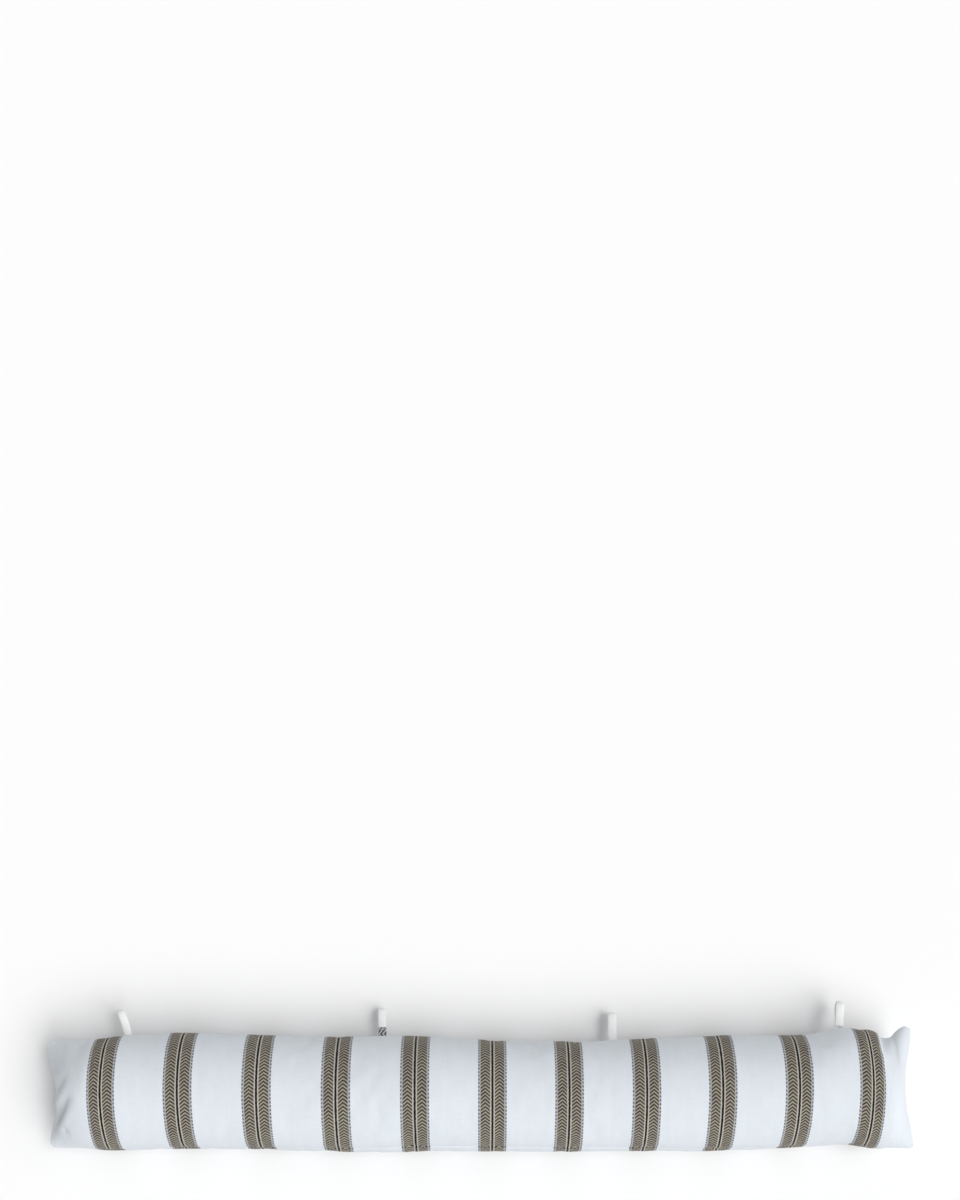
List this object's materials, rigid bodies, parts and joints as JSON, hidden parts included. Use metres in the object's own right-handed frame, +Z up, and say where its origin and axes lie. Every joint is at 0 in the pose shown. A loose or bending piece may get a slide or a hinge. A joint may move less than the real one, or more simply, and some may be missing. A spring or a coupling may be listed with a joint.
{
  "type": "draught excluder",
  "caption": "Long round filled cotton draught excluder with woven stripes across it, pointed sewn corners and small cloth hanging loops along its back seam.",
  "frame": {"origin": "on the floor, on the flat underside below the middle of the tube", "axes": "+X along the tube, +Y towards the back seam and its loops, +Z up"},
  "size_m": [0.9067, 0.1536, 0.1044],
  "materials": {
    "striped_cotton": "matt plain-weave cotton with woven taupe herringbone stripes",
    "loop_cotton": "matt cotton strip"
  },
  "bodies": {
    "root": {"filled_tube": "striped_cotton", "loop_1": "loop_cotton", "loop_2": "loop_cotton", "loop_3": "loop_cotton", "loop_4": "loop_cotton"}
  },
  "joints": []
}
